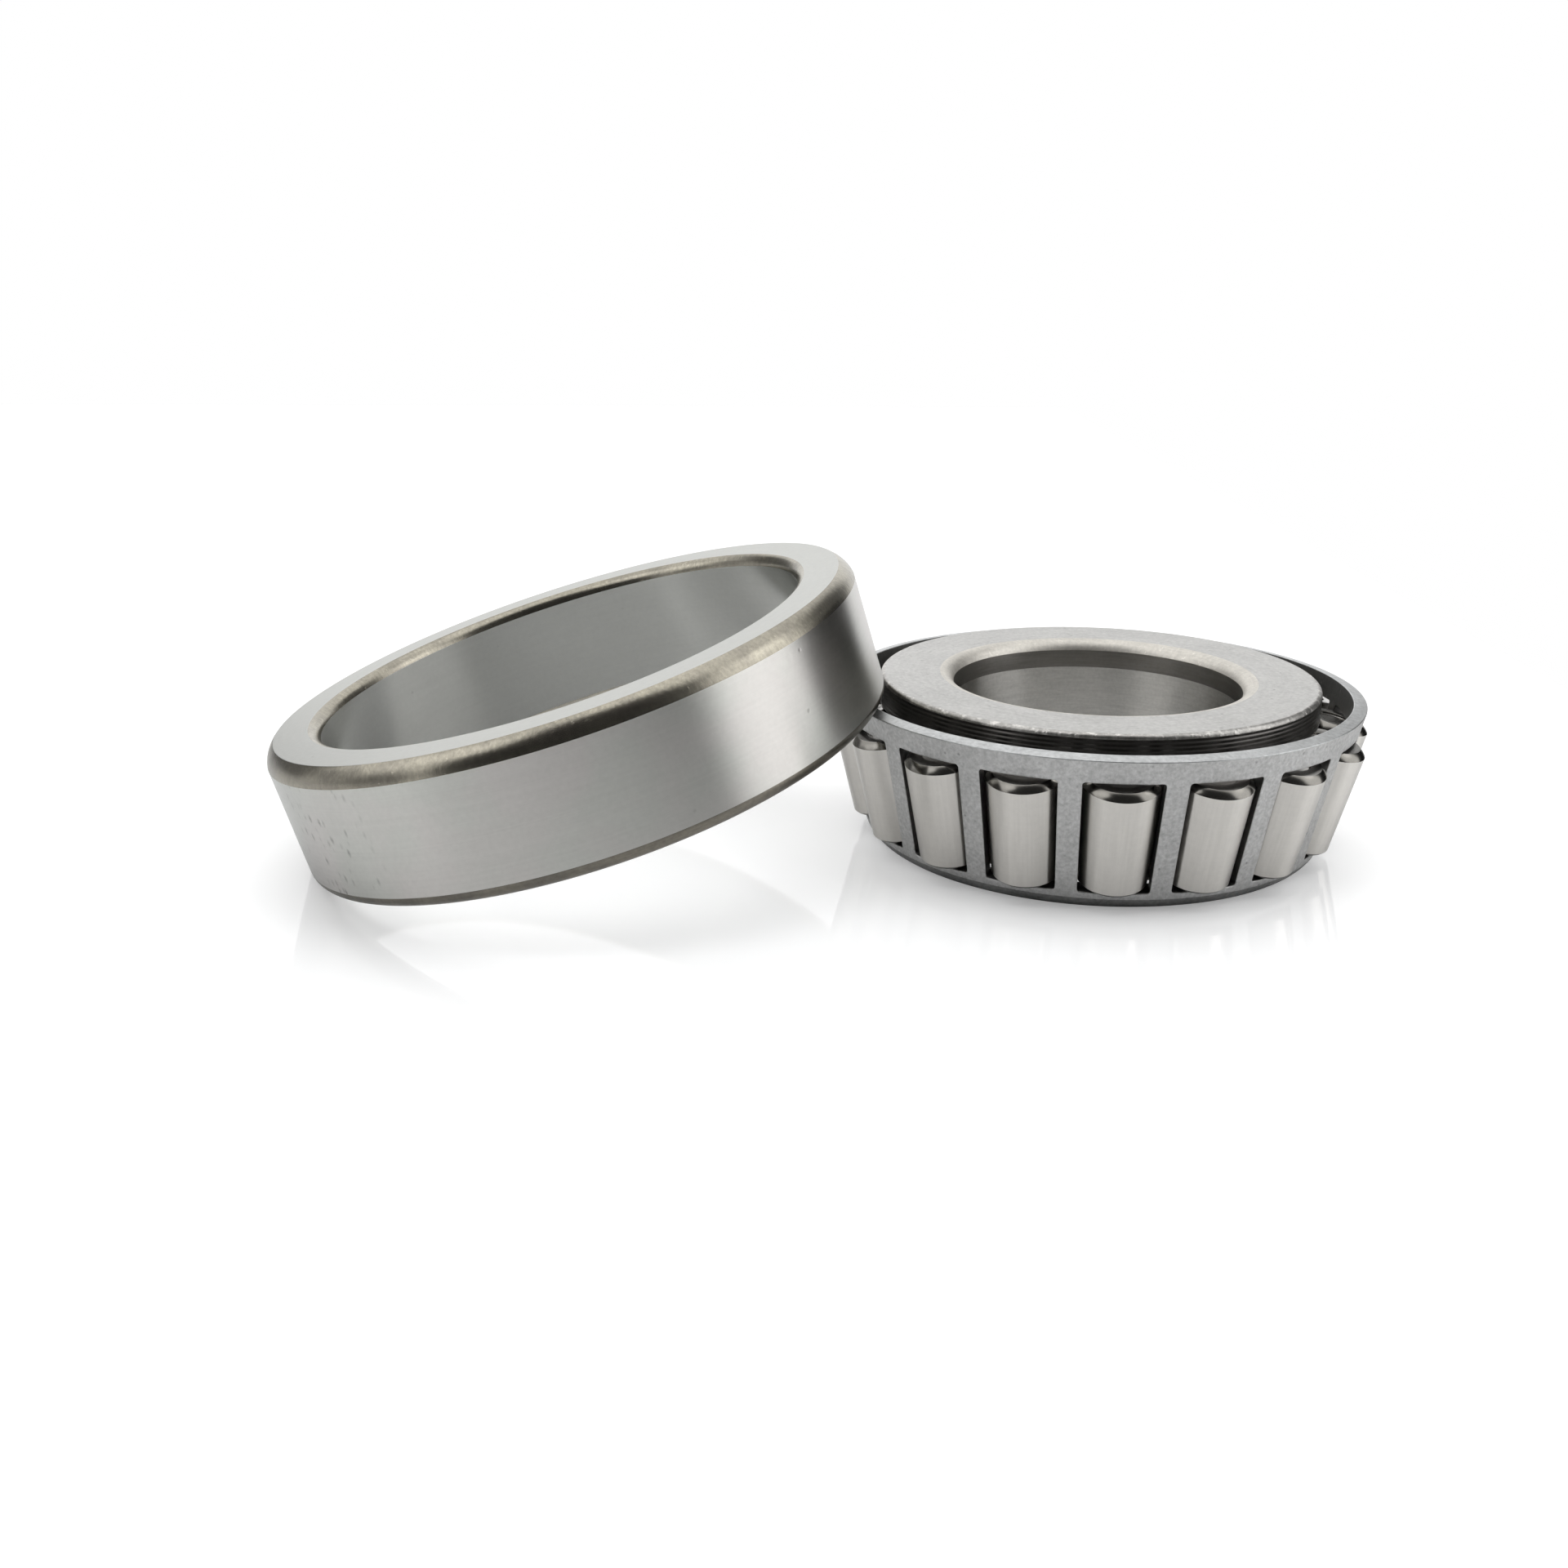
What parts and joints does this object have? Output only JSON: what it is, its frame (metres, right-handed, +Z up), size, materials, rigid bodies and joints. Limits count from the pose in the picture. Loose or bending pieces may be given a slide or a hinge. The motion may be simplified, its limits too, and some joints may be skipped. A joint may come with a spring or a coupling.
{
  "type": "tapered roller bearing",
  "caption": "Single-row tapered roller bearing: an inner ring with its cage of tapered rollers standing on the table, and the separate cup leaning on the cage rim.",
  "frame": {"origin": "on the bore axis, in the plane of the cage's small-end flange, which is the table the object stands on", "axes": "+Z up along the bore axis, out of the inner ring's back face; -X towards the separate cup; the picture looks roughly along +Y"},
  "size_m": [0.1134, 0.0645, 0.0304],
  "materials": {
    "ground_steel_inner": "ground bearing steel, bare, with a dark turned rib side and an olive-grey bore chamfer",
    "ground_steel_cup": "satin ground bearing steel, bare, with olive-brown turned edges",
    "pressed_steel_cage": "matt grey blasted sheet steel, bright on the sheared rim",
    "honed_steel_rollers": "fine honed bearing steel, satin, with shiny bronze-dark end edges"
  },
  "bodies": {
    "inner_ring": {"inner_ring": "ground_steel_inner"},
    "cage": {"cage": "pressed_steel_cage"},
    "roller_01": {"roller_01": "honed_steel_rollers"},
    "roller_02": {"roller_02": "honed_steel_rollers"},
    "roller_03": {"roller_03": "honed_steel_rollers"},
    "roller_04": {"roller_04": "honed_steel_rollers"},
    "roller_05": {"roller_05": "honed_steel_rollers"},
    "roller_06": {"roller_06": "honed_steel_rollers"},
    "roller_07": {"roller_07": "honed_steel_rollers"},
    "roller_08": {"roller_08": "honed_steel_rollers"},
    "roller_09": {"roller_09": "honed_steel_rollers"},
    "roller_10": {"roller_10": "honed_steel_rollers"},
    "roller_11": {"roller_11": "honed_steel_rollers"},
    "roller_12": {"roller_12": "honed_steel_rollers"},
    "roller_13": {"roller_13": "honed_steel_rollers"},
    "roller_14": {"roller_14": "honed_steel_rollers"},
    "roller_15": {"roller_15": "honed_steel_rollers"},
    "roller_16": {"roller_16": "honed_steel_rollers"},
    "roller_17": {"roller_17": "honed_steel_rollers"},
    "cup": {"cup": "ground_steel_cup"}
  },
  "joints": [
    {"name": "cage_spin", "type": "hinge", "parent": "inner_ring", "child": "cage", "pos_m": [0, 0, 0], "axis": [0, 0, 1], "continuous": true},
    {"name": "roller_01_spin", "type": "hinge", "parent": "cage", "child": "roller_01", "pos_m": [-0.00183, -0.0233, 0.00823], "axis": [-0.0166, -0.2107, 0.9774], "continuous": true},
    {"name": "roller_02_spin", "type": "hinge", "parent": "cage", "child": "roller_02", "pos_m": [0.00671, -0.02239, 0.00823], "axis": [0.0607, -0.2025, 0.9774], "continuous": true},
    {"name": "roller_03_spin", "type": "hinge", "parent": "cage", "child": "roller_03", "pos_m": [0.01434, -0.01846, 0.00823], "axis": [0.1297, -0.1669, 0.9774], "continuous": true},
    {"name": "roller_04_spin", "type": "hinge", "parent": "cage", "child": "roller_04", "pos_m": [0.02004, -0.01203, 0.00823], "axis": [0.1812, -0.1088, 0.9774], "continuous": true},
    {"name": "roller_05_spin", "type": "hinge", "parent": "cage", "child": "roller_05", "pos_m": [0.02303, -0.00398, 0.00823], "axis": [0.2083, -0.036, 0.9774], "continuous": true},
    {"name": "roller_06_spin", "type": "hinge", "parent": "cage", "child": "roller_06", "pos_m": [0.02292, 0.00461, 0.00823], "axis": [0.2072, 0.0417, 0.9774], "continuous": true},
    {"name": "roller_07_spin", "type": "hinge", "parent": "cage", "child": "roller_07", "pos_m": [0.0197, 0.01258, 0.00823], "axis": [0.1781, 0.1137, 0.9774], "continuous": true},
    {"name": "roller_08_spin", "type": "hinge", "parent": "cage", "child": "roller_08", "pos_m": [0.01383, 0.01885, 0.00823], "axis": [0.125, 0.1704, 0.9774], "continuous": true},
    {"name": "roller_09_spin", "type": "hinge", "parent": "cage", "child": "roller_09", "pos_m": [0.00609, 0.02257, 0.00823], "axis": [0.055, 0.2041, 0.9774], "continuous": true},
    {"name": "roller_10_spin", "type": "hinge", "parent": "cage", "child": "roller_10", "pos_m": [-0.00248, 0.02324, 0.00823], "axis": [-0.0224, 0.2102, 0.9774], "continuous": true},
    {"name": "roller_11_spin", "type": "hinge", "parent": "cage", "child": "roller_11", "pos_m": [-0.01071, 0.02078, 0.00823], "axis": [-0.0968, 0.1879, 0.9774], "continuous": true},
    {"name": "roller_12_spin", "type": "hinge", "parent": "cage", "child": "roller_12", "pos_m": [-0.01749, 0.01551, 0.00823], "axis": [-0.1581, 0.1402, 0.9774], "continuous": true},
    {"name": "roller_13_spin", "type": "hinge", "parent": "cage", "child": "roller_13", "pos_m": [-0.02191, 0.00814, 0.00823], "axis": [-0.1981, 0.0736, 0.9774], "continuous": true},
    {"name": "roller_14_spin", "type": "hinge", "parent": "cage", "child": "roller_14", "pos_m": [-0.02337, -0.00032, 0.00823], "axis": [-0.2113, -0.0029, 0.9774], "continuous": true},
    {"name": "roller_15_spin", "type": "hinge", "parent": "cage", "child": "roller_15", "pos_m": [-0.02168, -0.00875, 0.00823], "axis": [-0.196, -0.0791, 0.9774], "continuous": true},
    {"name": "roller_16_spin", "type": "hinge", "parent": "cage", "child": "roller_16", "pos_m": [-0.01706, -0.01599, 0.00823], "axis": [-0.1542, -0.1445, 0.9774], "continuous": true},
    {"name": "roller_17_spin", "type": "hinge", "parent": "cage", "child": "roller_17", "pos_m": [-0.01013, -0.02107, 0.00823], "axis": [-0.0916, -0.1905, 0.9774], "continuous": true},
    {"name": "cup_lift", "type": "slide", "parent": "inner_ring", "child": "cup", "axis": [0, 0, 1], "range_m": [0, 0.045]}
  ],
  "couplings": [
    {"joint": "roller_01_spin", "follows": "cage_spin", "ratio": 5.6213},
    {"joint": "roller_02_spin", "follows": "cage_spin", "ratio": 5.6213},
    {"joint": "roller_03_spin", "follows": "cage_spin", "ratio": 5.6213},
    {"joint": "roller_04_spin", "follows": "cage_spin", "ratio": 5.6213},
    {"joint": "roller_05_spin", "follows": "cage_spin", "ratio": 5.6213},
    {"joint": "roller_06_spin", "follows": "cage_spin", "ratio": 5.6213},
    {"joint": "roller_07_spin", "follows": "cage_spin", "ratio": 5.6213},
    {"joint": "roller_08_spin", "follows": "cage_spin", "ratio": 5.6213},
    {"joint": "roller_09_spin", "follows": "cage_spin", "ratio": 5.6213},
    {"joint": "roller_10_spin", "follows": "cage_spin", "ratio": 5.6213},
    {"joint": "roller_11_spin", "follows": "cage_spin", "ratio": 5.6213},
    {"joint": "roller_12_spin", "follows": "cage_spin", "ratio": 5.6213},
    {"joint": "roller_13_spin", "follows": "cage_spin", "ratio": 5.6213},
    {"joint": "roller_14_spin", "follows": "cage_spin", "ratio": 5.6213},
    {"joint": "roller_15_spin", "follows": "cage_spin", "ratio": 5.6213},
    {"joint": "roller_16_spin", "follows": "cage_spin", "ratio": 5.6213},
    {"joint": "roller_17_spin", "follows": "cage_spin", "ratio": 5.6213}
  ]
}
